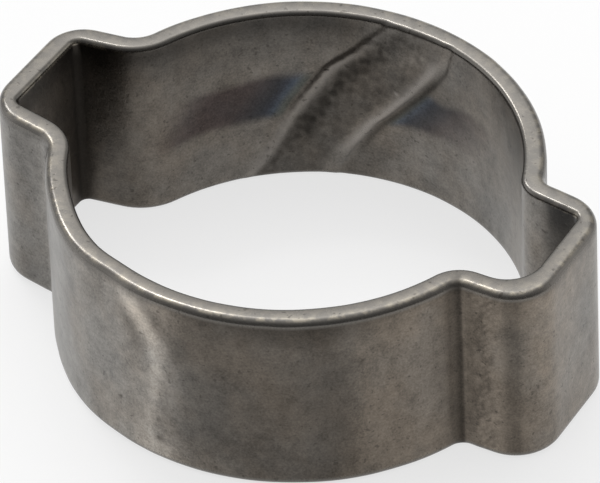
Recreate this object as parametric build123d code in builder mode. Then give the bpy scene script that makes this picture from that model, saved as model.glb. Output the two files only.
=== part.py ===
from build123d import *
import math
import os

# Two-ear crimp clamp for a small hose, formed from one strip of stainless
# steel whose ends are welded on a slant. Millimetres. The ring axis is Z, the
# lower edge of the band lies on Z = 0, and the two ears point along +X and -X.

# --- strip and ring
bore_radius = 7.5          # inside radius of the open ring, nominal hose size 15
strip_thickness = 0.8
band_width = 7.1
edge_round = 0.375 * strip_thickness   # tumbled rounding of all four long edges

# --- ears, measured on the middle line of the strip
# rise: how far the crown stands out from the ring; skew: how much further out the
# crown's front corner is than its middle; half: half width at the crown;
# offset: the crown's middle towards the front (-Y); taper: lean of each flank
right_rise = 2.2
right_skew = 0.06
right_half = 2.35
right_offset = 0.1
right_taper_rear = 6.0
right_taper_front = 1.5

left_rise = 2.18
left_skew = 0.06
left_half = 2.175
left_offset = 0.025
left_taper_rear = 9.5
left_taper_front = 9.5

# --- slanted weld of the strip ends across the rear wall: its two toe lines,
# each given by its direction seen from the axis at the upper and lower edge
weld_left_toe_top = 98.5
weld_left_toe_bottom = 136.5
weld_right_toe_top = 78.5
weld_right_toe_bottom = 114.0
weld_toe_width = 0.16
weld_toe_depth = 0.07

ring_middle = bore_radius + strip_thickness / 2

right_reach = ring_middle + right_rise
left_reach = ring_middle + left_rise

# --- bend radii: the crown's corners follow from the strip's gauge, and the
# roots from how far the ear stands out
right_crown_outside = 2 * strip_thickness
right_crown_inside_rear = 0.375 * strip_thickness
right_crown_inside_front = 1.5 * strip_thickness
left_crown_outside_rear = 1.75 * strip_thickness
left_crown_outside_front = 2.05 * strip_thickness
left_crown_inside = 0.375 * strip_thickness
right_root_outside_rear = 0.25 * right_rise
right_root_outside_front = 0.22 * right_rise
left_root_outside_rear = 0.5 * left_rise
left_root_outside_front = 0.41 * left_rise
right_root_inside_rear = 0.5 * right_rise
right_root_inside_front = 0.6 * right_rise
left_root_inside_rear = 0.92 * left_rise
left_root_inside_front = 0.83 * left_rise


def flank_foot(reach, half, taper, radius):
    """Where a flank through the crown corner (reach, half) meets the ring circle."""
    dx = -math.cos(math.radians(taper))
    dy = math.sin(math.radians(taper))
    b = reach * dx + half * dy
    c = reach * reach + half * half - radius * radius
    run = -b - math.sqrt(b * b - c)
    return (reach + run * dx, half + run * dy)


def ear_corners(reach_rear, reach_front, half_rear, half_front, taper_rear, taper_front, shift):
    """Crown corners of one ear, moved off the middle line by shift (outwards positive)."""
    lean = math.atan2(reach_front - reach_rear, half_rear + half_front)
    out_x = math.cos(lean)
    out_y = math.sin(lean)
    corners = []
    for side, reach, half, taper in (
        (1, reach_rear, half_rear, taper_rear),
        (-1, reach_front, half_front, taper_front),
    ):
        flank_x = math.sin(math.radians(taper))
        flank_y = side * math.cos(math.radians(taper))
        # the point at distance shift from both the crown line and the flank line
        det = flank_x * out_y - flank_y * out_x
        step_x = shift * (out_y - flank_y) / det
        step_y = shift * (flank_x - out_x) / det
        corners.append((reach + step_x, side * half + step_y))
    return corners


right_ear = (
    right_reach - right_skew, right_reach + right_skew,
    right_half - right_offset, right_half + right_offset,
    right_taper_rear, right_taper_front,
)
left_ear = (
    left_reach - left_skew, left_reach + left_skew,
    left_half - left_offset, left_half + left_offset,
    left_taper_rear, left_taper_front,
)


def closed_outline(shift, radius, bends):
    """Ring circle of the given radius with both ears, every corner bent to its radius."""
    crown_r_rear, crown_r_front, crown_l_rear, crown_l_front = bends[:4]
    root_r_rear, root_r_front, root_l_rear, root_l_front = bends[4:]
    with BuildSketch() as outline:
        Circle(radius)
        for ear, sign in ((right_ear, 1), (left_ear, -1)):
            rear, front = ear_corners(*ear, shift)
            foot_rear = flank_foot(rear[0], rear[1], ear[4], radius)
            foot_front = flank_foot(front[0], -front[1], ear[5], radius)
            foot_front = (foot_front[0], -foot_front[1])
            with BuildLine():
                Polyline(
                    (0, 0),
                    (sign * foot_front[0], foot_front[1]),
                    (sign * front[0], front[1]),
                    (sign * rear[0], rear[1]),
                    (sign * foot_rear[0], foot_rear[1]),
                    (0, 0),
                )
            make_face()

        def corner(sign_x, sign_y, crown):
            found = [
                v for v in outline.vertices()
                if v.X * sign_x > 1 and v.Y * sign_y > 0.5
            ]
            found.sort(key=lambda v: abs(v.X))
            return found[-1] if crown else found[0]

        for sign_x, sign_y, crown, size in (
            (1, 1, True, crown_r_rear),
            (1, -1, True, crown_r_front),
            (-1, 1, True, crown_l_rear),
            (-1, -1, True, crown_l_front),
        ):
            fillet(corner(sign_x, sign_y, crown), size)
        for sign_x, sign_y, size in (
            (1, 1, root_r_rear),
            (1, -1, root_r_front),
            (-1, 1, root_l_rear),
            (-1, -1, root_l_front),
        ):
            fillet(corner(sign_x, sign_y, False), size)
    return outline.sketch


outer_outline = closed_outline(
    strip_thickness / 2,
    bore_radius + strip_thickness,
    (
        right_crown_outside, right_crown_outside,
        left_crown_outside_rear, left_crown_outside_front,
        right_root_outside_rear, right_root_outside_front,
        left_root_outside_rear, left_root_outside_front,
    ),
)
inner_outline = closed_outline(
    -strip_thickness / 2,
    bore_radius,
    (
        right_crown_inside_rear, right_crown_inside_front,
        left_crown_inside, left_crown_inside,
        right_root_inside_rear, right_root_inside_front,
        left_root_inside_rear, left_root_inside_front,
    ),
)

with BuildPart() as band:
    with BuildSketch():
        add(outer_outline)
        add(inner_outline, mode=Mode.SUBTRACT)
    extrude(amount=band_width)
    rims = band.edges().filter_by(
        lambda e: abs(e.center().Z) < 1e-6 or abs(e.center().Z - band_width) < 1e-6
    )
    fillet(rims, edge_round)

    # the weld's toes: two shallow slanted creases in the rear inside wall
    for toe_top, toe_bottom in (
        (weld_left_toe_top, weld_left_toe_bottom),
        (weld_right_toe_top, weld_right_toe_bottom),
    ):
        turn = toe_bottom - toe_top
        low = 1.2 * edge_round
        pitch = band_width * 360 / turn
        with BuildLine():
            toe = Helix(pitch, band_width - 2 * low, bore_radius, (0, 0, low), lefthand=True)
            toe = toe.rotate(Axis.Z, toe_bottom - turn * low / band_width)
        with BuildSketch(Plane(toe @ 0, x_dir=(toe @ 0) - (0, 0, (toe @ 0).Z), z_dir=toe % 0)):
            with BuildLine():
                Polyline(
                    (weld_toe_depth, 0),
                    (-weld_toe_depth, weld_toe_width),
                    (-weld_toe_depth, -weld_toe_width),
                    (weld_toe_depth, 0),
                )
            make_face()
        sweep(path=toe, is_frenet=True, mode=Mode.SUBTRACT)

band.part.label = "clamp_band"

os.makedirs("parts", exist_ok=True)
export_step(band.part, "parts/clamp_band.step")
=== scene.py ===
import math

import bpy
import numpy as np
from mathutils import Matrix, Vector


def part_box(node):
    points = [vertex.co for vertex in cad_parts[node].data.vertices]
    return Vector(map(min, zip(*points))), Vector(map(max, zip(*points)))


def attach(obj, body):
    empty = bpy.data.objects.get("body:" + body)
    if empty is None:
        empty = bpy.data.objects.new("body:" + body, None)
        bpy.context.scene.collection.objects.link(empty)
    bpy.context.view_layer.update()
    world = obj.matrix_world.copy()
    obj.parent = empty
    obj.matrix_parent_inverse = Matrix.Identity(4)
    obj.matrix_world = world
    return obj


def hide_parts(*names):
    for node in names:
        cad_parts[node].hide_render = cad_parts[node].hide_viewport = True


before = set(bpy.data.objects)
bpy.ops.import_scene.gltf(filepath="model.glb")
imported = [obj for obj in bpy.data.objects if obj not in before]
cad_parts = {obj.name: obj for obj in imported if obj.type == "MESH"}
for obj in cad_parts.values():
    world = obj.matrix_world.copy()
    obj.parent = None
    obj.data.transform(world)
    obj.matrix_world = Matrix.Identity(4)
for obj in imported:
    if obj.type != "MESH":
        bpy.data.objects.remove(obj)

MM = 0.001
DEG = math.pi / 180
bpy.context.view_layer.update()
band_low, band_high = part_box("clamp_band")

# ---------------------------------------------------------------- the strip
BORE = 7.5 * MM
GAUGE = 0.8 * MM
WIDTH = band_high[2] - band_low[2]
# the rounding of the long edges, larger outside, where the blanking die rolled them
EDGE_OUTSIDE = 0.28 * MM
EDGE_INSIDE = 0.17 * MM
# the two faces of the strip
OUTSIDE = 1
INSIDE = -1
# points nearer than this are one
TOUCH = 0.001 * MM
# a face's upward share, above which it is a rim and below which a wall
RIM_UPWARD = 0.999
WALL_UPWARD = 0.001

# how finely each stretch of the outline is drawn
ROOT_STEPS = 10
FLANK_STEPS = 8
CORNER_STEPS = 14
CROWN_STEPS = 16
FRONT_STEPS = 150
REAR_RIGHT_STEPS = 46
REAR_LEFT_STEPS = 23
# the middle of the rear carries the weld and is finer
WELD_FROM = 72 * DEG
WELD_TO = 140 * DEG
WELD_STEPS = 172
# level loops cut round each wall, and facets in the rounding of its edges
INNER_CUTS = 88
OUTER_CUTS = 46
OUTER_FACETS = 6
INNER_FACETS = 4


def ring_radius(face):
    """The ring's radius on one face of the strip."""
    return BORE if face == INSIDE else BORE + GAUGE


def heading(way):
    """The direction of a plane vector, as an angle."""
    return math.atan2(way.y, way.x)


def turned(point, angle):
    """A plane point turned round the ring's axis."""
    c = math.cos(angle)
    s = math.sin(angle)
    return Vector((c * point.x - s * point.y, s * point.x + c * point.y))


def left_of(way):
    """A plane vector turned a quarter to its left."""
    return Vector((-way.y, way.x))


def turn_between(start, end):
    """Signed turn from one direction to the next, the short way."""
    return (end - start + math.pi) % (2 * math.pi) - math.pi


class Ear:
    """One ear: where it points, its crown corners on the strip's middle line and its bends.

    Pairs are for its two sides: side 0 is met first on a walk round the ring against the
    clock. Angles are in degrees, lengths and bend radii in mm.
    """

    def __init__(self, points, reach, half, taper, crown_out, crown_in, root_out, root_in):
        self.points = points * DEG
        self.reach = reach
        self.half = half
        self.taper = taper
        self.crown_bends = {OUTSIDE: crown_out, INSIDE: crown_in}
        self.root_bends = {OUTSIDE: root_out, INSIDE: root_in}

    def corner(self, face, side):
        """A sharp crown corner on one face of the strip, the ear turned to point at +X."""
        shift = face * GAUGE / 2
        lean = math.atan2((self.reach[0] - self.reach[1]) * MM, (self.half[0] + self.half[1]) * MM)
        crown_normal = Vector((math.cos(lean), math.sin(lean)))
        sign = (-1, 1)[side]
        taper = self.taper[side] * DEG
        flank_normal = Vector((math.sin(taper), sign * math.cos(taper)))
        det = flank_normal.x * crown_normal.y - flank_normal.y * crown_normal.x
        step_x = shift * (crown_normal.y - flank_normal.y) / det
        step_y = shift * (flank_normal.x - crown_normal.x) / det
        return Vector((self.reach[side] * MM + step_x, sign * self.half[side] * MM + step_y))

    def root(self, face, side):
        """A root bend's centre, the flank's end at it, and the centre's direction from the axis."""
        corner = self.corner(face, side)
        bend = self.root_bends[face][side] * MM
        sign = (-1, 1)[side]
        taper = self.taper[side] * DEG
        inward = Vector((-math.cos(taper), sign * math.sin(taper)))
        start = corner + Vector((math.sin(taper), sign * math.cos(taper))) * bend
        b = start.dot(inward)
        c = start.dot(start) - (ring_radius(face) + bend) ** 2
        run = -b - math.sqrt(b * b - c)
        centre = start + inward * run
        return centre, corner + inward * run, heading(centre)


right_ear = Ear(points=0, reach=(10.16, 10.04), half=(2.45, 2.25), taper=(1.5, 6.0),
                crown_out=(1.6, 1.6), crown_in=(1.2, 0.3),
                root_out=(0.484, 0.55), root_in=(1.32, 1.1))
left_ear = Ear(points=180, reach=(10.02, 10.14), half=(2.15, 2.2), taper=(9.5, 9.5),
               crown_out=(1.4, 1.64), crown_in=(0.3, 0.3),
               root_out=(1.09, 0.894), root_in=(2.0, 1.81))


def draw_arc(centre, angle, steps):
    """Spins the end of the outline round a centre on the lower edge's plane."""
    bpy.ops.mesh.spin(steps=steps, dupli=False, angle=-angle,
                      center=(centre.x, centre.y, 0), axis=(0, 0, 1))


def draw_line(run, steps):
    """Extrudes the end of the outline straight on."""
    for _ in range(steps):
        bpy.ops.mesh.extrude_region_move(
            TRANSFORM_OT_translate={"value": (run.x / steps, run.y / steps, 0)})


def draw_ear(ear, face):
    """From the end of one ring arc, round the ear, to the start of the next."""
    a = ear.corner(face, 0)
    b = ear.corner(face, 1)
    root_a, foot_a, way_a = ear.root(face, 0)
    root_b, foot_b, way_b = ear.root(face, 1)
    out = (a - foot_a).normalized()
    across = (b - a).normalized()
    back_in = (foot_b - b).normalized()
    turn_a = turn_between(heading(out), heading(across))
    turn_b = turn_between(heading(across), heading(back_in))
    bend_a, bend_b = (radius * MM for radius in ear.crown_bends[face])
    cut_a = bend_a * math.tan(turn_a / 2)
    cut_b = bend_b * math.tan(turn_b / 2)
    centre_a = a - out * cut_a + left_of(out) * bend_a
    centre_b = b - across * cut_b + left_of(across) * bend_b
    quarter = math.pi / 2
    draw_arc(turned(root_a, ear.points), turn_between(way_a + quarter, heading(out)), ROOT_STEPS)
    draw_line(turned(a - out * cut_a - foot_a, ear.points), FLANK_STEPS)
    draw_arc(turned(centre_a, ear.points), turn_a, CORNER_STEPS)
    draw_line(turned((b - across * cut_b) - (a + across * cut_a), ear.points), CROWN_STEPS)
    draw_arc(turned(centre_b, ear.points), turn_b, CORNER_STEPS)
    draw_line(turned(foot_b - (b + back_in * cut_b), ear.points), FLANK_STEPS)
    draw_arc(turned(root_b, ear.points), turn_between(heading(back_in), way_b + quarter), ROOT_STEPS)


def draw_outline(name, face):
    """Closed outline of one face of the strip, at the lower edge."""
    ring = ring_radius(face)
    bpy.ops.object.select_all(action="DESELECT")
    bpy.ops.mesh.primitive_circle_add(vertices=4, radius=ring, location=(0, 0, 0))
    piece = bpy.context.object
    piece.name = name
    bpy.ops.object.mode_set(mode="EDIT")
    bpy.ops.mesh.select_all(action="DESELECT")
    bpy.ops.object.mode_set(mode="OBJECT")
    # only the rearmost corner stays
    for corner in piece.data.vertices:
        corner.select = corner.co.y < ring - TOUCH
    bpy.ops.object.mode_set(mode="EDIT")
    bpy.ops.mesh.delete(type="VERT")
    bpy.ops.mesh.select_all(action="SELECT")
    # it slides round to the first root, where the outline starts
    start = right_ear.root(face, 1)[2]
    bpy.ops.transform.translate(value=(ring * math.cos(start), ring * math.sin(start) - ring, 0))
    axis = Vector((0, 0))
    rear_end = math.pi + left_ear.root(face, 0)[2]
    draw_arc(axis, WELD_FROM - start, REAR_RIGHT_STEPS)
    draw_arc(axis, WELD_TO - WELD_FROM, WELD_STEPS)
    draw_arc(axis, rear_end - WELD_TO, REAR_LEFT_STEPS)
    draw_ear(left_ear, face)
    front_start = math.pi + left_ear.root(face, 1)[2]
    front_end = 2 * math.pi + right_ear.root(face, 0)[2]
    draw_arc(axis, front_end - front_start, FRONT_STEPS)
    draw_ear(right_ear, face)
    bpy.ops.mesh.select_all(action="SELECT")
    bpy.ops.mesh.remove_doubles(threshold=2 * TOUCH)
    bpy.ops.object.mode_set(mode="OBJECT")
    return piece


def raise_wall(outline):
    """Extrudes an outline to the strip's full width."""
    bpy.ops.object.select_all(action="DESELECT")
    outline.select_set(True)
    bpy.context.view_layer.objects.active = outline
    bpy.ops.object.mode_set(mode="EDIT")
    bpy.ops.mesh.select_all(action="SELECT")
    bpy.ops.mesh.extrude_region_move(TRANSFORM_OT_translate={"value": (0, 0, WIDTH)})
    bpy.ops.object.mode_set(mode="OBJECT")


def pick_edges(band, wanted):
    """Selects only the edges that pass the test, and leaves the band in edit mode."""
    bpy.ops.object.mode_set(mode="EDIT")
    bpy.ops.mesh.select_mode(type="EDGE")
    bpy.ops.mesh.select_all(action="DESELECT")
    bpy.ops.object.mode_set(mode="OBJECT")
    for edge in band.data.edges:
        edge.select = wanted(edge)
    bpy.ops.object.mode_set(mode="EDIT")


def slide_inner_wall(band, count, lift):
    """Moves the inner wall, whose vertices come first, up or down."""
    bpy.ops.object.mode_set(mode="EDIT")
    bpy.ops.mesh.select_mode(type="VERT")
    bpy.ops.mesh.select_all(action="DESELECT")
    bpy.ops.object.mode_set(mode="OBJECT")
    for vertex in band.data.vertices[:count]:
        vertex.select = True
    bpy.ops.object.mode_set(mode="EDIT")
    bpy.ops.transform.translate(value=(0, 0, lift))
    bpy.ops.object.mode_set(mode="OBJECT")


def bridge_rim(band, inner_count, level, lift):
    """Joins the two walls along one rim, the inner one drawn clear of the outer meanwhile."""

    def on_rim(edge):
        heights = [band.data.vertices[i].co.z for i in edge.vertices]
        return any(all(abs(z - at) < TOUCH for z in heights) for at in (level, level + lift))

    slide_inner_wall(band, inner_count, lift)
    pick_edges(band, on_rim)
    bpy.ops.mesh.bridge_edge_loops()
    slide_inner_wall(band, inner_count, -lift)


def inner_share(band):
    """How far each vertex belongs to the inner wall: 1 there, 0 on the outer one."""
    shares = np.zeros(len(band.data.vertices))
    for vertex in band.data.vertices:
        for member in vertex.groups:
            shares[vertex.index] = member.weight
    return shares


def round_edges(band, face, size, facets):
    """Rounds the two long edges of one face of the strip."""
    inner = inner_share(band)
    meets = {}
    for side in band.data.polygons:
        upward = abs(side.normal.z)
        kind = "rim" if upward > RIM_UPWARD else "wall" if upward < WALL_UPWARD else "rounding"
        for key in side.edge_keys:
            meets.setdefault(key, set()).add(kind)

    def sharp(edge):
        on_inside = inner[edge.vertices[0]] > 0.5
        return meets[edge.key] == {"rim", "wall"} and on_inside == (face == INSIDE)

    pick_edges(band, sharp)
    bpy.ops.mesh.bevel(offset=size, offset_type="OFFSET", segments=facets, profile=0.5,
                       affect="EDGES", clamp_overlap=False, loop_slide=False)
    bpy.ops.object.mode_set(mode="OBJECT")


def cut_loops(band, face, cuts):
    """Cuts level loops round one wall, close enough to carry its relief."""
    inner = inner_share(band)

    def upright(edge):
        low, high = (band.data.vertices[i] for i in edge.vertices)
        stands = abs(low.co.z - high.co.z) > WIDTH / 2
        return stands and (inner[low.index] > 0.5) == (face == INSIDE)

    pick_edges(band, upright)
    bpy.ops.mesh.subdivide(number_cuts=cuts, smoothness=0)
    bpy.ops.object.mode_set(mode="OBJECT")


def make_band():
    """The bent strip as one closed mesh: two walls, two rims and four rounded edges."""
    outer_wall = draw_outline("outer_wall", OUTSIDE)
    band = draw_outline("formed_band", INSIDE)
    raise_wall(outer_wall)
    raise_wall(band)
    inner_count = len(band.data.vertices)
    group = band.vertex_groups.new(name="inner_wall")
    group.add(range(inner_count), 1.0, "REPLACE")
    outer_wall.select_set(True)
    bpy.ops.object.join()
    bridge_rim(band, inner_count, WIDTH, 3 * WIDTH)
    bridge_rim(band, inner_count, 0, -3 * WIDTH)
    bpy.ops.object.mode_set(mode="EDIT")
    bpy.ops.mesh.select_all(action="SELECT")
    bpy.ops.mesh.normals_make_consistent(inside=False)
    bpy.ops.object.mode_set(mode="OBJECT")
    round_edges(band, OUTSIDE, EDGE_OUTSIDE, OUTER_FACETS)
    round_edges(band, INSIDE, EDGE_INSIDE, INNER_FACETS)
    cut_loops(band, INSIDE, INNER_CUTS)
    cut_loops(band, OUTSIDE, OUTER_CUTS)
    return band


# ---------------------------------------------------------------- places on the band
# seams as (angle round the ring in degrees, height in mm), from the lower edge up:
# the two toes of the weld on the bore wall, and the bend line on the front left
LEFT_TOE = [(136.8, 0.0), (133.6, 0.5), (130.7, 1.04), (127.3, 1.8), (124.2, 2.66),
            (121.6, 3.3), (118.0, 4.0), (114.2, 4.8), (107.4, 5.54), (99.7, 6.66), (96.8, 7.1)]
RIGHT_BEAD = [(112.4, 0.0), (110.8, 0.54), (108.2, 1.21), (104.0, 1.99), (101.0, 2.6), (98.0, 2.99),
              (93.8, 3.66), (90.0, 4.27), (85.7, 5.04), (81.9, 5.82), (79.8, 6.77), (79.2, 7.1)]
CREASE = [(263.8, 0.0), (263.8, 0.7), (263.8, 1.9), (265.4, 3.0), (266.4, 4.2), (266.0, 5.2),
          (262.4, 5.9), (258.8, 6.6), (257.6, 7.1)]
# the weld's toes climb on a slant, so the way straight across them is this much shorter
SEAM_LEAN = 0.72
# small dents in the outer wall: angle, height, the dent's size and that of its dirt
DENTS = [(255, 1.93, 0.10, 0.10), (266, 1.0, 0.12, 0.12), (315, 5.15, 0.11, 0.09)]
# a drop of spatter on the weld: angle, height and size
SPATTER = (94.0, 4.16, 0.07)
# what is told apart by its place to the right is measured in this direction
RIGHTWARD = 32 * DEG


def seam_angle(seam, height):
    """A seam's angle at each height, its corners eased."""
    levels = np.linspace(-0.4, WIDTH / MM + 0.4, 320)
    angles = np.interp(levels, [z for _, z in seam], [a for a, _ in seam])
    ease = np.hanning(25)
    angles = np.convolve(np.pad(angles, 12, mode="edge"), ease / ease.sum(), mode="valid")
    return np.interp(height, levels, angles)


def step(low, high, value):
    """0 below low, 1 above high and a smooth rise between."""
    share = np.clip((value - low) / (high - low), 0, 1)
    return share * share * (3 - 2 * share)


def hump(value, half_width):
    """1 at 0, falling smoothly away on both sides."""
    return np.exp(-(value / half_width) ** 2)


def window(value, low, high, soft):
    """1 between low and high, fading over soft on both sides."""
    return step(low - soft, low + soft, value) * (1 - step(high - soft, high + soft, value))


class Surface:
    """The band's points: their place in mm, and their angle round the ring in degrees."""

    def __init__(self, band):
        self.count = len(band.data.vertices)
        flat = np.empty(3 * self.count)
        band.data.vertices.foreach_get("co", flat)
        self.place = flat.reshape(-1, 3) / MM
        self.x, self.y, self.height = self.place.T
        self.inner = inner_share(band)
        self.outer = 1 - self.inner
        self.radius = np.hypot(self.x, self.y)
        self.angle = np.degrees(np.arctan2(self.y, self.x)) % 360
        self.rear_bore = self.inner * window(self.angle, 20, 160, 2)
        self.rightward = self.x * math.cos(RIGHTWARD) + self.y * math.sin(RIGHTWARD)
        self.off_middle = np.abs(self.height - WIDTH / MM / 2)
        self.from_edge = WIDTH / MM / 2 - self.off_middle
        # past each toe of the weld, plus to its right as seen from inside the ring
        self.left = self.across_weld(LEFT_TOE)
        self.right = self.across_weld(RIGHT_BEAD)

    def across_weld(self, seam):
        return (seam_angle(seam, self.height) - self.angle) * DEG * BORE / MM * SEAM_LEAN

    def past_crease(self):
        """Distance from the bend line on the outer wall, plus against the clock."""
        return (self.angle - seam_angle(CREASE, self.height)) * DEG * (BORE + GAUGE) / MM

    def away_from(self, angle, height, face):
        """Distance along one wall from a place on it."""
        return np.hypot((self.angle - angle) * DEG * ring_radius(face) / MM, self.height - height)


def lumps(surface, size, seed):
    """Rough metal: a smooth random field between about -1 and 1, with lumps of one size in mm."""
    draw = np.random.RandomState(seed)
    total = np.zeros(surface.count)
    waves = 14
    for _ in range(waves):
        way = draw.normal(size=3)
        way *= 2 * math.pi / (size * np.linalg.norm(way) * draw.uniform(0.8, 1.6))
        total += np.sin(surface.place @ way + draw.uniform(0, 2 * math.pi))
    return total / waves ** 0.5


# ---------------------------------------------------------------- relief, all in mm
FLAT_RISE = 0.126
VALLEY_DEPTH = 0.05
LEFT_LIP = 0.07
RIGHT_BEAD_RISE = 0.12
UNDERCUT_DEPTH = 0.035
JOINT_DEPTH = 0.01
SPATTER_RISE = 0.05
COARSE_ROUGHNESS = 0.0045
FINE_ROUGHNESS = 0.003

PROUD_BELOW = 0.055
PROUD_ABOVE = 0.115
CREASE_RISE = 0.012
DENT_DEPTH = 0.03
LONG_WAVE = 0.008
SHORT_WAVE = 0.004
# the waves only ever sink the walls, so that they stay inside the true size
WAVE_TOP = 1.6


def weld_rise(surface):
    """How far the weld metal stands into the bore."""
    left = surface.left
    right = surface.right
    height = surface.height
    # the strip is bent flat across the weld, so the middle of the weld stands proudest
    share = np.clip(left / (left - right + 1e-9), 0, 1)
    flat = FLAT_RISE * 4 * share * (1 - share) * (0.55 + 0.45 * step(2.5, 6.2, height))
    valley = -VALLEY_DEPTH * hump(left - 0.8, 0.34) * window(height, 1.0, 5.4, 0.8)
    rough = COARSE_ROUGHNESS * lumps(surface, 0.42, 3) + FINE_ROUGHNESS * lumps(surface, 0.2, 4)
    on_weld = step(-0.05, 0.2, left) * (1 - step(0.1, 0.17, right))
    rise = on_weld * (flat + valley + rough)
    # the left lip rises at once from the joint and falls away slowly to its right
    lip_width = np.interp(height, [0, 2.6, 3.3, 7], [0.36, 0.42, 0.62, 0.62])
    lip = LEFT_LIP * step(-0.03, 0.2, left) * (1 - step(0.1, lip_width, left))
    rise += lip * (1 - 0.7 * step(4.4, 6.2, height))
    # the joint stayed slightly open, most of all half way up
    rise -= JOINT_DEPTH * hump(left + 0.01, 0.05) * window(height, 2.75, 6.3, 0.3)
    rise -= JOINT_DEPTH * hump(left + 0.02, 0.10) * window(height, 2.9, 4.7, 0.25)
    # the right bead rises slowly and drops into an undercut
    bead = RIGHT_BEAD_RISE * hump(np.minimum(right - 0.02, 0) / 1.25, 0.19)
    bead *= (1 - step(0.05, 0.14, right)) * step(0.0, 0.3, left)
    rise += bead * (0.75 + 0.25 * window(height, 2.8, 4.1, 0.5) - 0.4 * step(5.6, 6.6, height))
    rise -= UNDERCUT_DEPTH * hump(right - 0.24, 0.09)
    angle, level, size = SPATTER
    rise += SPATTER_RISE * hump(surface.away_from(angle, level, INSIDE), size)
    # the weld is dressed off towards both edges of the strip
    dressed = (1 - 0.5 * step(6.0, 7.0, height)) * (0.2 + 0.8 * step(0.0, 0.7, height))
    return rise * dressed * window(surface.angle, 66, 148, 1.5)


def front_rise(surface):
    """How far the front stands out of round: pressed proud on the left, with a bend line."""
    height = surface.height
    proud = PROUD_BELOW + (PROUD_ABOVE - PROUD_BELOW) * height / (WIDTH / MM)
    proud = proud * step(220, 240, surface.angle) * (1 - step(242, 254, surface.angle))
    return proud + CREASE_RISE * hump(surface.past_crease(), 0.36) * surface.outer


def shape_band(band):
    """Sinks the relief into the band's mesh."""
    surface = Surface(band)
    on_ring = surface.radius < BORE / MM + 1.2
    wave = LONG_WAVE * (lumps(surface, 2.6, 7) - WAVE_TOP)
    wave += SHORT_WAVE * (lumps(surface, 1.1, 8) - WAVE_TOP)
    wave *= np.where(surface.inner > 0.5, -0.5, 1)
    outward = (front_rise(surface) + wave) * on_ring - weld_rise(surface) * surface.inner
    for angle, level, size, _ in DENTS:
        outward -= DENT_DEPTH * hump(surface.away_from(angle, level, OUTSIDE), size) * surface.outer
    moved = surface.place.copy()
    moved[:, :2] *= (1 + outward / surface.radius)[:, None]
    band.data.vertices.foreach_set("co", (moved * MM).ravel())
    band.data.update()
    return surface


# ---------------------------------------------------------------- where the finish and the painted light lie
# angles are in degrees, heights and distances in mm, and marks are shares from 0 to 1
# the run from the weld and the painted light at which their marks reach 1
HEAT_REACH = 5.0
PAINTED_LIGHT_TOP = 4.0


def weld_heat(surface):
    """Heat colours beside the weld: how far out each point is, and how strong its colour."""
    height = surface.height
    run_left = -surface.left / SEAM_LEAN
    run_right = surface.right / SEAM_LEAN - 0.2
    fade_left = step(0.0, 0.12, run_left) * (1 - step(3.2, 5.4, run_left))
    fade_right = 0.95 * step(0.0, 0.4, run_right) * (1 - step(1.0, 4.4, run_right))
    # one band half way up, which sinks and narrows to the left
    sink = 0.3 * np.clip((surface.angle - 118) / 35, 0, 1)
    level = height + 0.12 * lumps(surface, 1.5, 21)
    above_foot = step(2.47 - sink, 2.97 - sink, level)
    below_top = 1 - step(4.25 - 1.4 * sink, 4.75 - 1.2 * sink, level)
    to_left = surface.left < 0
    fade = np.where(to_left, fade_left, fade_right) * above_foot * below_top
    return np.where(to_left, run_left, run_right), fade * surface.rear_bore


def weld_soot_and_shade(surface):
    """Soot in the open joint and rough dirt on the weld, with painted shade in the valleys beside the
    lip and a painted shadow past the right bead.
    """
    left = surface.left
    right = surface.right
    height = surface.height
    rough = 0.5 + 0.5 * lumps(surface, 0.3, 11)
    in_joint = 0.15 * hump(left, 0.05) * step(2.6, 3.1, height) * (1 - 0.4 * step(5.0, 6.6, height))
    in_joint += 0.15 * hump(left + 0.05, 0.12) * window(height, 2.8, 4.7, 0.3)
    # painted shade in the valley right of the lip, and lower down beside the step
    valley_shade = 0.62 * hump(left - 0.74, 0.24) * window(height, 1.6, 6.2, 0.6) * (0.88 + 0.12 * rough)
    valley_shade += 0.4 * hump(left - 0.42, 0.22) * (1 - step(2.4, 3.0, height)) * (0.7 + 0.3 * rough)
    # a painted shadow just past the right bead, spreading wider low down
    shadow_past_bead = 0.6 * hump(right - 0.24, 0.14) * window(height, 1.6, 5.6, 0.8)
    shadow_past_bead += 0.28 * window(right, 0.1, 1.1, 0.3) * (1 - step(1.2, 2.4, height))
    all_over = 0.25 * step(0.2, 0.6, left) * (1 - step(-0.4, -0.1, right)) * rough
    return (in_joint + valley_shade + shadow_past_bead + all_over) * surface.rear_bore


def ear_dirt_and_shade(surface):
    """Painted shade in the right ear's front root crease and in the left ear's inside corners, and
    speckled dirt on the right ear's flank.
    """
    x, y, height, rightward = surface.x, surface.y, surface.height, surface.rightward
    # painted shade in the crease of the right ear's front root
    root = 0.62 * step(4.5, 5.05, rightward) * (1 - step(5.14, 5.26, rightward))
    root += 0.2 * hump(rightward - 5.1, 0.1)
    dirt_and_shade = root * (y < -1.9) * (x > 7.0) * surface.outer
    speckle = 0.5 + 0.12 * lumps(surface, 0.5, 12) + 0.3 * lumps(surface, 0.13, 13)
    flank = window(rightward, 5.5, 6.3, 0.2) * (y < -1.5) * surface.outer
    dirt_and_shade += 0.4 * flank * step(0.4, 0.8, speckle)
    below_rim = 1 - step(6.3, 6.8, height)
    # painted shade in the left ear's inside corners
    for corner_x, corner_y in ((-9.68, 1.78), (-9.65, -1.8)):
        dirt_and_shade += 1.2 * hump(np.hypot(x - corner_x, y - corner_y), 0.42) * surface.inner * below_rim
    return dirt_and_shade


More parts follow.
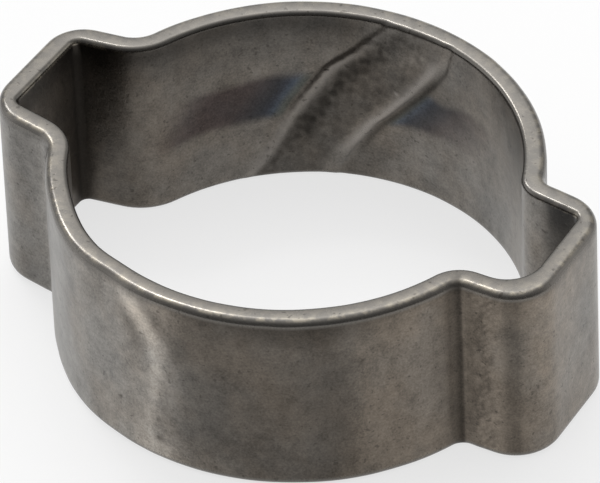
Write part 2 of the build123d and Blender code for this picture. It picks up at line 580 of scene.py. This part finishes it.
def front_dirt_and_dark_reflection(surface):
    """Dirt on the outer wall: a smudge and the dents; and a painted dark reflection as a line at the
    foot of the upper rounding.
    """
    height = surface.height
    dirt_and_shade = 0.16 * window(surface.angle, 307.5, 313.5, 1.2) * window(height, 0.6, 5.4, 0.4)
    for angle, level, _, size in DENTS:
        dirt_and_shade += 0.8 * hump(surface.away_from(angle, level, OUTSIDE), size)
    # a painted dark reflection at the foot of the upper rounding
    dirt_and_shade += 0.3 * hump(surface.from_edge - 0.33, 0.09) * (height > WIDTH / MM / 2)
    return dirt_and_shade * surface.outer


def weld_polish_and_highlight(surface):
    """Polish and a painted highlight on the tops of the weld's lip and bead, and on the spatter."""
    height = surface.height
    lip_at = np.interp(height, [0, 2.6, 3.3, 7], [0.14, 0.16, 0.27, 0.27])
    crest_polish_and_highlight = 0.45 * hump(surface.left - lip_at, 0.15) * (1 - 0.6 * step(4.8, 6.0, height))
    crest_polish_and_highlight += 0.9 * hump(surface.right + 0.05, 0.15) * window(height, 1.3, 6.0, 0.7)
    angle, level, size = SPATTER
    crest_polish_and_highlight += hump(surface.away_from(angle, level, INSIDE), size)
    return crest_polish_and_highlight * surface.rear_bore


def rim_polish(surface):
    """The tumbled rims, with their rounding."""
    starts = np.where(surface.inner > 0.5, 3.16, 3.06)
    return step(starts, starts + 0.34, surface.off_middle)


def edge_highlight(surface):
    """Painted highlights as bright lines: at the top of the outer rounding, and inside the upper edge
    of the ears.
    """
    bright = surface.outer * window(surface.from_edge, 0.006, 0.045, 0.02)
    in_ear = step(7.9, 8.5, np.abs(surface.x)) * (surface.height > WIDTH / MM / 2)
    return bright + 0.7 * surface.inner * window(surface.from_edge, 0.05, 0.2, 0.04) * in_ear


def on_right_ear(surface):
    """The right ear and its front root."""
    return step(7.2, 7.5, surface.x) * (1 - step(2.4, 2.7, surface.y))


def outside_painted_light(surface):
    """Painted light and shade on the outer wall: lighter to the left, darker in the middle of the
    front.
    """
    x, height, angle = surface.x, surface.height, surface.angle
    painted_light = np.interp(angle, [180, 200, 240, 254, 262, 269, 274, 280, 300, 307, 313, 320, 331, 338],
                     [1.40, 1.85, 1.85, 1.9, 2.0, 1.65, 0.95, 0.8, 0.80, 0.72, 1.1, 1.3, 1.4, 1.3])
    # a painted highlight along the bend line, most of all below the upper rim, and painted shade on
    # both sides
    past_crease = surface.past_crease()
    crease_width = np.interp(height, [0, 3.5, 5.3, 7], [0.24, 0.26, 0.36, 0.42])
    crease_highlight = np.interp(height, [0.3, 2.5, 4.2, 6.2, 6.8], [0.6, 0.6, 1.4, 1.7, 1.2])
    painted_light += crease_highlight * hump(past_crease, crease_width)
    painted_light -= 0.75 * hump(past_crease + 0.75, 0.3) * window(height, 4.4, 6.0, 0.6)
    painted_light -= 0.4 * hump(past_crease - 0.8, 0.35) * window(height, 4.6, 6.4, 0.6)
    # painted shade on the left ear's front flank, a painted highlight at the foot of the front wall,
    # and painted shade at its top under the rim
    painted_light *= np.interp(x, [-10.2, -9.6, -9.0, -8.5, -8.0], [1.0, 0.95, 0.75, 0.8, 1.0])
    painted_light *= 1 + 0.5 * window(angle, 256, 284, 8) * (1 - step(0.5, 1.6, height))
    painted_light *= 1 - 0.4 * window(angle, 284, 320, 14) * step(5.7, 6.7, height)
    # painted shade in the right ear's root and on its front corner, and a painted highlight on its
    # crown
    ear_painted_light = np.interp(surface.rightward,
                         [4.9, 5.3, 5.6, 6.2, 6.45, 6.65, 6.95, 7.2, 7.7, 8.5, 9.0, 9.5],
                         [1.20, 1.00, 1.30, 1.65, 1.20, 0.78, 0.85, 1.25, 1.50, 1.70, 1.65, 1.75])
    return painted_light + (ear_painted_light - painted_light) * on_right_ear(surface)


def bore_painted_light(surface):
    """Painted light on the inner wall: lighter than the outer one, with painted shade under the rim and
    in the ears.
    """
    x, height, angle = surface.x, surface.height, surface.angle
    painted_light = np.interp(angle, [0, 20, 45, 75, 100, 125, 160, 170],
                     [1.3, 1.8, 1.8, 1.55, 1.3, 1.25, 1.2, 0.75])
    painted_light *= 1 - 0.25 * window(angle, 72, 92, 8) * window(height, 3.8, 5.4, 0.7)
    # painted shade under the rim, on the left of the rear
    shade_under_rim = np.interp(height, [5.0, 6.0, 6.6], [0.05, 0.3, 0.62])
    painted_light *= 1 - window(angle, 102, 172, 8) * shade_under_rim
    # painted shade in the ears' insides, right up to the rim
    painted_light *= np.interp(x, [7.9, 8.15, 8.35, 8.7, 9.1, 9.5], [1, 0.9, 0.5, 0.3, 0.22, 0.42])
    painted_light *= 1 - 0.5 * step(5.5, 6.5, height) * step(8.2, 8.6, np.abs(x))
    on_weld = step(0.1, 0.5, surface.left) * (1 - step(-0.5, -0.2, surface.right))
    return painted_light * (1 - 0.38 * on_weld * (1 - step(4.6, 6.0, height)))


def warmth(surface):
    """Browner towards the front right and in the left ear, greyer on the left and right."""
    outside = np.interp(surface.angle, [150, 200, 255, 275, 300, 340], [0.1, 0.0, 0.15, 0.55, 0.7, 1.0])
    ear = np.interp(surface.rightward, [5, 8, 9.5], [1.0, 0.9, 0.2])
    outside += (ear - outside) * on_right_ear(surface)
    inside = np.interp(surface.angle, [0, 40, 60, 100, 160, 175], [0.3, 0.2, 0.25, 0.5, 0.6, 1.0])
    return surface.inner * inside + surface.outer * outside


def mark_finish_and_light(band, surface):
    """Keeps with the mesh where heat, soot, polish, painted light and painted shade lie on the steel.
    """
    heat_run, heat_amount = weld_heat(surface)
    painted_light = surface.inner * bore_painted_light(surface) + surface.outer * outside_painted_light(surface)
    # painted light and shade go into these marks too: the wall tones, shade within the soot, and
    # highlights within the polish and the edges
    marks = {
        "heat_run": heat_run / HEAT_REACH,
        "heat_amount": heat_amount,
        "soot_and_shade": weld_soot_and_shade(surface) + ear_dirt_and_shade(surface) + front_dirt_and_dark_reflection(surface),
        "worn_and_highlight": weld_polish_and_highlight(surface),
        "rim": rim_polish(surface),
        "edge": edge_highlight(surface),
        "painted_light": painted_light / PAINTED_LIGHT_TOP,
        "warm": warmth(surface),
    }
    for name, values in marks.items():
        layer = band.data.attributes.new(name, "FLOAT", "POINT")
        layer.data.foreach_set("value", np.clip(values, 0, 1).astype(np.float32))


band = make_band()
mark_finish_and_light(band, shape_band(band))

bpy.ops.object.select_all(action="DESELECT")
band.select_set(True)
bpy.context.view_layer.objects.active = band
bpy.ops.object.shade_smooth_by_angle(angle=40 * DEG)

# ---------------------------------------------------------------- materials
COOL_GREY = (0.126, 0.120, 0.111)
WARM_GREY = (0.142, 0.120, 0.097)
POLISHED_HIGHLIGHT = (0.36, 0.335, 0.31)
RIM_GREY = (0.165, 0.156, 0.143)
EDGE_HIGHLIGHT = (0.40, 0.36, 0.29)
SOOT_AND_SHADE = (0.035, 0.030, 0.025)
# the steel's own colour is multiplied by these, along the run from the weld
HEAT_COLOURS = ((0.0, (0.50, 0.56, 0.55)), (0.05, (0.58, 0.69, 0.73)), (0.10, (0.40, 0.53, 0.76)),
                (0.15, (0.26, 0.31, 0.43)), (0.20, (0.25, 0.28, 0.35)), (0.38, (0.38, 0.34, 0.37)),
                (0.60, (0.44, 0.38, 0.41)), (1.0, (0.58, 0.53, 0.56)))
METAL_SHARE = 0.86
WALL_ROUGHNESS = 0.34
RIM_SMOOTHER = -0.11
WORN_SMOOTHER = -0.06
SOOT_ROUGHER = 0.36
BUMP_STRENGTH = 0.5
RIM_BUMP = 0.08
GRAIN_DEPTH = 0.012 * MM
WHITE = (1.0, 1.0, 1.0)


class Nodes:
    """A node tree, with short calls for the nodes that the studio and the steel need."""

    def __init__(self, tree):
        self.tree = tree

    def new(self, kind):
        return self.tree.nodes.new("ShaderNode" + kind)

    def link(self, source, socket):
        """Feeds a socket from another one, or sets it to a number or a colour."""
        if hasattr(source, "is_linked"):
            self.tree.links.new(source, socket)
        elif isinstance(source, tuple) and len(source) == 3 and socket.type == "RGBA":
            socket.default_value = (*source, 1)
        else:
            socket.default_value = source

    def maths(self, what, a, b=0.0, c=0.0):
        node = self.new("Math")
        node.operation = what
        for socket, value in zip(node.inputs, (a, b, c)):
            self.link(value, socket)
        return node.outputs[0]

    def spread(self, value, low, high, out_low=0.0, out_high=1.0):
        """Stretches a value from one range to another, held at both ends."""
        node = self.new("MapRange")
        node.clamp = True
        for name, item in (("Value", value), ("From Min", low), ("From Max", high),
                           ("To Min", out_low), ("To Max", out_high)):
            self.link(item, node.inputs[name])
        return node.outputs["Result"]

    def noise(self, grain, detail=3.0, roughness=0.6, squash=(1, 1, 1), shift=0.0):
        """Noise on object coordinates, one grain every so many mm, squashed along the axes."""
        mapping = self.new("Mapping")
        mapping.inputs["Scale"].default_value = [s / (grain * MM) for s in squash]
        mapping.inputs["Location"].default_value = (shift, 2 * shift, 3 * shift)
        self.link(self.new("TexCoord").outputs["Object"], mapping.inputs["Vector"])
        node = self.new("TexNoise")
        node.inputs["Scale"].default_value = 1.0
        node.inputs["Detail"].default_value = detail
        node.inputs["Roughness"].default_value = roughness
        self.link(mapping.outputs["Vector"], node.inputs["Vector"])
        return node.outputs["Fac"]

    def attribute(self, name):
        node = self.new("Attribute")
        node.attribute_name = name
        return node.outputs["Fac"]

    def grey(self, value):
        node = self.new("CombineColor")
        for name in ("Red", "Green", "Blue"):
            self.link(value, node.inputs[name])
        return node.outputs["Color"]

    def ramp(self, value, stops):
        node = self.new("ValToRGB")
        ramp = node.color_ramp
        while len(ramp.elements) < len(stops):
            ramp.elements.new(0.5)
        for element, (place, colour) in zip(ramp.elements, stops):
            element.position = place
            element.color = (*colour, 1)
        self.link(value, node.inputs["Fac"])
        return node.outputs["Color"]

    def mix(self, share, a, b, blend="MIX"):
        node = self.new("Mix")
        node.data_type = "RGBA"
        node.blend_type = blend
        sockets = {s.identifier: s for s in node.inputs}
        self.link(share, sockets["Factor_Float"])
        self.link(a, sockets["A_Color"])
        self.link(b, sockets["B_Color"])
        return next(s for s in node.outputs if s.identifier == "Result_Color")


def new_material(name):
    """A material with its nodes and its own shader."""
    material = bpy.data.materials.new(name)
    material.use_nodes = True
    nodes = Nodes(material.node_tree)
    return material, nodes, material.node_tree.nodes["Principled BSDF"]


def tumbled_steel():
    """Dull grey strip steel, tumbled after forming, with heat colours at the weld, and with painted
    light, shade and highlights in its colour.
    """
    material, steel, shader = new_material("tumbled_steel")
    grain = steel.noise(0.08, roughness=0.7)
    patch = steel.noise(0.42, shift=4.0)
    cloud = steel.noise(2.4, roughness=0.55, squash=(1, 1, 0.8), shift=9.0)
    blotch = steel.noise(1.3, squash=(1, 1, 0.6), shift=13.0)
    rolled = steel.noise(1.6, detail=2.0, roughness=0.5, squash=(0.35, 0.35, 14), shift=2.0)
    specks = steel.noise(0.2, detail=1.0, roughness=0.5, shift=17.0)
    pits = steel.spread(specks, 0.26, 0.31, 0.45, 0.0)
    # cooler and warmer greys in soft clouds
    warm = steel.maths("ADD", steel.attribute("warm"), steel.spread(cloud, 0.36, 0.64, -0.25, 0.25))
    base = steel.mix(warm, COOL_GREY, WARM_GREY)
    # each grain, patch and blotch is a little lighter or darker, as are the rolling lines
    light = 1.0
    for pattern, low, high, swing in ((grain, 0.3, 0.7, 0.28), (patch, 0.3, 0.7, 0.16),
                                      (blotch, 0.35, 0.65, 0.13), (rolled, 0.3, 0.7, 0.03)):
        light = steel.maths("ADD", steel.spread(pattern, low, high, -swing, swing), light)
    # painted light and shade on the walls, from the tone marks
    painted_light = steel.maths("MULTIPLY", steel.attribute("painted_light"), PAINTED_LIGHT_TOP)
    base = steel.mix(1.0, base, steel.grey(steel.maths("MULTIPLY", light, painted_light)), "MULTIPLY")
    heat_colour = steel.ramp(steel.attribute("heat_run"), HEAT_COLOURS)
    base = steel.mix(steel.attribute("heat_amount"), base, heat_colour, "MULTIPLY")
    # polish and painted highlights, then dirt and painted shade over all
    base = steel.mix(steel.maths("MULTIPLY", steel.attribute("worn_and_highlight"), 0.7), base, POLISHED_HIGHLIGHT)
    base = steel.mix(steel.spread(steel.attribute("rim"), 0.5, 1.0, 0.0, 0.85), base, RIM_GREY)
    # painted highlights along the edges, broken into glints
    glint = steel.maths("MULTIPLY", steel.attribute("edge"), steel.spread(patch, 0.44, 0.60, 0.0, 0.9))
    base = steel.mix(glint, base, EDGE_HIGHLIGHT)
    dirt_and_shade = steel.maths("MULTIPLY", steel.attribute("soot_and_shade"), steel.spread(grain, 0.25, 0.6, 1.0, 0.75))
    base = steel.mix(dirt_and_shade, base, SOOT_AND_SHADE)
    base = steel.mix(pits, base, SOOT_AND_SHADE)
    gloss = steel.maths("ADD", steel.spread(grain, 0.3, 0.7, -0.05, 0.05), WALL_ROUGHNESS)
    for mark, change in (("rim", RIM_SMOOTHER), ("worn_and_highlight", WORN_SMOOTHER), ("soot_and_shade", SOOT_ROUGHER)):
        gloss = steel.maths("MULTIPLY_ADD", steel.attribute(mark), change, gloss)
    relief = steel.maths("MULTIPLY_ADD", patch, 2.0, grain)
    relief = steel.maths("MULTIPLY_ADD", rolled, 0.25, relief)
    relief = steel.maths("MULTIPLY_ADD", pits, -1.0, relief)
    bump = steel.new("Bump")
    bump.inputs["Distance"].default_value = GRAIN_DEPTH
    strength = steel.spread(steel.attribute("rim"), 0.0, 0.4, BUMP_STRENGTH, RIM_BUMP)
    steel.link(strength, bump.inputs["Strength"])
    steel.link(relief, bump.inputs["Height"])
    shader.inputs["Metallic"].default_value = METAL_SHARE
    steel.link(base, shader.inputs["Base Color"])
    steel.link(gloss, shader.inputs["Roughness"])
    steel.link(bump.outputs["Normal"], shader.inputs["Normal"])
    return material


band.data.materials.clear()
band.data.materials.append(tumbled_steel())

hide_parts("clamp_band")
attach(band, "root")

# ---------------------------------------------------------------- floor and light
FLOOR_SIZE = 2.0
FLOOR_WHITE = (0.93, 0.93, 0.93)
FLOOR_ROUGHNESS = 0.9
FLOOR_GLOW = 0.7


def pale_floor():
    """A white floor that camera and mirror rays see partly lit from within, its shadow kept."""
    material, floor_nodes, plain = new_material("pale_floor")
    floor_nodes.link(FLOOR_WHITE, plain.inputs["Base Color"])
    plain.inputs["Roughness"].default_value = FLOOR_ROUGHNESS
    white = floor_nodes.new("Emission")
    white.inputs["Strength"].default_value = 1.0
    rays = floor_nodes.new("LightPath")
    seen = rays.outputs["Is Camera Ray"]
    for name in ("Is Glossy Ray", "Is Transmission Ray"):
        seen = floor_nodes.maths("MAXIMUM", seen, rays.outputs[name])
    blend = floor_nodes.new("MixShader")
    floor_nodes.link(floor_nodes.maths("MULTIPLY", seen, FLOOR_GLOW), blend.inputs["Fac"])
    floor_nodes.link(plain.outputs["BSDF"], blend.inputs[1])
    floor_nodes.link(white.outputs["Emission"], blend.inputs[2])
    out = material.node_tree.nodes["Material Output"]
    floor_nodes.link(blend.outputs["Shader"], out.inputs["Surface"])
    return material


bpy.ops.object.select_all(action="DESELECT")
bpy.ops.mesh.primitive_plane_add(size=FLOOR_SIZE, location=(0, 0, band_low[2]))
floor = bpy.context.object
floor.name = "studio_floor"
floor.data.materials.append(pale_floor())

# a white tent lit by soft lights: azimuth, elevation and half width in degrees, brightness
TENT_LIGHTS = ((125, 60, 21, 2.6),    # high behind
               (300, 82, 26, 0.7),    # overhead
               (45, 14, 26, 0.8),     # low on the right
               (198, 16, 26, 0.9),    # low on the left
               (122, 14, 24, 0.6))    # low behind
TENT_PLAIN = 0.13
# lamps for the glints on the rims, with their distance and size in metres
LAMP_DISTANCE = 0.6
KEY_BRIGHTNESS = 10.0
GLINT_BRIGHTNESS = 16.0


def direction(azimuth, elevation):
    """The way from the clamp to a place at these angles, in degrees."""
    a = azimuth * DEG
    e = elevation * DEG
    return Vector((math.cos(e) * math.cos(a), math.cos(e) * math.sin(a), math.sin(e)))


def light_tent(lights, plain):
    """A world of one plain brightness, with a soft lobe of light in each direction."""
    world = bpy.data.worlds.new("studio")
    bpy.context.scene.world = world
    world.use_nodes = True
    tent = Nodes(world.node_tree)
    background = world.node_tree.nodes["Background"]
    tent.link(WHITE, background.inputs["Color"])
    look = tent.new("TexCoord").outputs["Generated"]
    total = plain
    for azimuth, elevation, half_width, brightness in lights:
        facing = tent.new("VectorMath")
        facing.operation = "DOT_PRODUCT"
        tent.link(look, facing.inputs[0])
        facing.inputs[1].default_value = direction(azimuth, elevation)
        sharpness = math.log(2) / (1 - math.cos(half_width * DEG))
        off = tent.maths("SUBTRACT", facing.outputs["Value"], 1.0)
        falloff = tent.maths("EXPONENT", tent.maths("MULTIPLY", off, sharpness))
        total = tent.maths("MULTIPLY_ADD", falloff, brightness, total)
    tent.link(total, background.inputs["Strength"])


def softbox(name, azimuth, elevation, width, height, brightness):
    """A flat lamp that faces the clamp; brightness is that of its face, 1 being white."""
    lamp = bpy.data.lights.new(name, "AREA")
    lamp.shape = "RECTANGLE"
    lamp.size = width
    lamp.size_y = height
    lamp.energy = brightness * math.pi * width * height
    holder = bpy.data.objects.new(name, lamp)
    bpy.context.scene.collection.objects.link(holder)
    way = direction(azimuth, elevation)
    facing = way.to_track_quat("Z", "Y").to_matrix().to_4x4()
    holder.matrix_world = Matrix.Translation(way * LAMP_DISTANCE) @ facing
    holder.visible_camera = False


light_tent(TENT_LIGHTS, TENT_PLAIN)
softbox("key_softbox", 156, 43, 0.12, 0.10, KEY_BRIGHTNESS)
softbox("glint_lamp", 145, 60, 0.09, 0.07, GLINT_BRIGHTNESS)

# ---------------------------------------------------------------- camera
# from the front right, looking down; the frame is 600 x 483
CAMERA_AZIMUTH = -58.006
CAMERA_ELEVATION = 40.772
CAMERA_ROLL = -2.481 * DEG
CAMERA_DISTANCE = 305.38 * MM
CAMERA_AIM = Vector((0, 0, 3.5 * MM))
OFFSET_RIGHT = 0.036 * MM
OFFSET_UP = -0.0494 * MM
FOCAL_PX = 9202.34
FRAME_WIDTH_PX = 600
SENSOR_WIDTH = 36.0
CLIP_NEAR = 0.01
CLIP_FAR = 10.0


def place_camera():
    back = direction(CAMERA_AZIMUTH, CAMERA_ELEVATION)
    level_right = direction(CAMERA_AZIMUTH + 90, 0)
    level_up = back.cross(level_right)
    right = level_right * math.cos(CAMERA_ROLL) + level_up * math.sin(CAMERA_ROLL)
    up = -level_right * math.sin(CAMERA_ROLL) + level_up * math.cos(CAMERA_ROLL)
    lens = bpy.data.cameras.new("camera")
    lens.sensor_fit = "HORIZONTAL"
    lens.sensor_width = SENSOR_WIDTH
    lens.lens = FOCAL_PX / FRAME_WIDTH_PX * SENSOR_WIDTH
    lens.clip_start = CLIP_NEAR
    lens.clip_end = CLIP_FAR
    camera = bpy.data.objects.new("camera", lens)
    bpy.context.scene.collection.objects.link(camera)
    stand = Matrix((right, up, back)).transposed().to_4x4()
    stand.translation = CAMERA_AIM + back * CAMERA_DISTANCE + right * OFFSET_RIGHT + up * OFFSET_UP
    camera.matrix_world = stand
    return camera


bpy.context.scene.camera = place_camera()
bpy.context.scene.view_settings.view_transform = "Standard"
